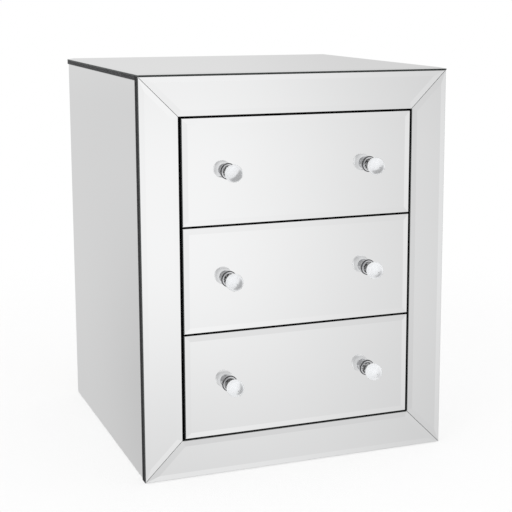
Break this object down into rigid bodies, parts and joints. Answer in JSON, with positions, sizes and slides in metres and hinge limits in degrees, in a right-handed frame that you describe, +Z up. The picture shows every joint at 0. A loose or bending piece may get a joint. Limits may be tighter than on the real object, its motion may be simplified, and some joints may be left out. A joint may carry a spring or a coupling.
{
  "type": "nightstand",
  "caption": "Mirror-faced nightstand with a mitred bevelled front frame, drawers on ball-bearing slides and crystal ball knobs on chrome bases.",
  "frame": {"origin": "centre of the footprint box, knobs included, on the floor", "axes": "+Z up, along the height; -Y towards the drawer fronts; +X to the right seen from the front"},
  "size_m": [0.5, 0.5304, 0.62],
  "materials": {
    "mirror_glass": "silvered float glass, ground and polished bevels",
    "dark_paint": "dark charcoal satin paint on fibreboard",
    "carcass_board": "raw fibreboard and planed softwood",
    "drawer_board": "pale birch plywood, clear lacquer",
    "hardboard": "brown hardboard",
    "zinc_steel": "bright zinc plate on pressed steel",
    "chrome": "polished chrome plate",
    "crystal": "clear polished crystal",
    "black_plastic": "black moulded plastic"
  },
  "bodies": {
    "cabinet": {"left_side_panel": "carcass_board", "right_side_panel": "carcass_board", "bottom_board": "carcass_board", "left_battens": "carcass_board", "right_battens": "carcass_board", "top_board": "dark_paint", "left_stile": "dark_paint", "right_stile": "dark_paint", "top_rail": "dark_paint", "bottom_rail": "dark_paint", "upper_cross_rail": "dark_paint", "lower_cross_rail": "dark_paint", "back_panel": "hardboard", "top_mirror": "mirror_glass", "left_side_mirror": "mirror_glass", "right_side_mirror": "mirror_glass", "left_frame_mirror": "mirror_glass", "right_frame_mirror": "mirror_glass", "top_frame_mirror": "mirror_glass", "bottom_frame_mirror": "mirror_glass", "floor_glides": "black_plastic", "back_panel_screws": "zinc_steel", "top_slide_channels": "zinc_steel", "middle_slide_channels": "zinc_steel", "bottom_slide_channels": "zinc_steel"},
    "top_drawer": {"top_drawer_front": "dark_paint", "top_drawer_mirror": "mirror_glass", "top_drawer_left_wall": "drawer_board", "top_drawer_right_wall": "drawer_board", "top_drawer_back_wall": "drawer_board", "top_drawer_bottom": "hardboard", "top_slide_rails": "zinc_steel", "top_knob_bases": "chrome", "top_knob_balls": "crystal", "top_knob_screws": "zinc_steel"},
    "top_cages": {"top_ball_cages": "zinc_steel"},
    "middle_drawer": {"middle_drawer_front": "dark_paint", "middle_drawer_mirror": "mirror_glass", "middle_drawer_left_wall": "drawer_board", "middle_drawer_right_wall": "drawer_board", "middle_drawer_back_wall": "drawer_board", "middle_drawer_bottom": "hardboard", "middle_slide_rails": "zinc_steel", "middle_knob_bases": "chrome", "middle_knob_balls": "crystal", "middle_knob_screws": "zinc_steel"},
    "middle_cages": {"middle_ball_cages": "zinc_steel"},
    "bottom_drawer": {"bottom_drawer_front": "dark_paint", "bottom_drawer_mirror": "mirror_glass", "bottom_drawer_left_wall": "drawer_board", "bottom_drawer_right_wall": "drawer_board", "bottom_drawer_back_wall": "drawer_board", "bottom_drawer_bottom": "hardboard", "bottom_slide_rails": "zinc_steel", "bottom_knob_bases": "chrome", "bottom_knob_balls": "crystal", "bottom_knob_screws": "zinc_steel"},
    "bottom_cages": {"bottom_ball_cages": "zinc_steel"}
  },
  "joints": [
    {"name": "top_drawer_slide", "type": "slide", "parent": "cabinet", "child": "top_drawer", "axis": [0, -1, 0], "range_m": [0, 0.29]},
    {"name": "top_cage_slide", "type": "slide", "parent": "cabinet", "child": "top_cages", "axis": [0, -1, 0], "range_m": [0, 0.145]},
    {"name": "middle_drawer_slide", "type": "slide", "parent": "cabinet", "child": "middle_drawer", "axis": [0, -1, 0], "range_m": [0, 0.29]},
    {"name": "middle_cage_slide", "type": "slide", "parent": "cabinet", "child": "middle_cages", "axis": [0, -1, 0], "range_m": [0, 0.145]},
    {"name": "bottom_drawer_slide", "type": "slide", "parent": "cabinet", "child": "bottom_drawer", "axis": [0, -1, 0], "range_m": [0, 0.29]},
    {"name": "bottom_cage_slide", "type": "slide", "parent": "cabinet", "child": "bottom_cages", "axis": [0, -1, 0], "range_m": [0, 0.145]}
  ],
  "couplings": [
    {"joint": "top_cage_slide", "follows": "top_drawer_slide", "ratio": 0.5},
    {"joint": "middle_cage_slide", "follows": "middle_drawer_slide", "ratio": 0.5},
    {"joint": "bottom_cage_slide", "follows": "bottom_drawer_slide", "ratio": 0.5}
  ]
}
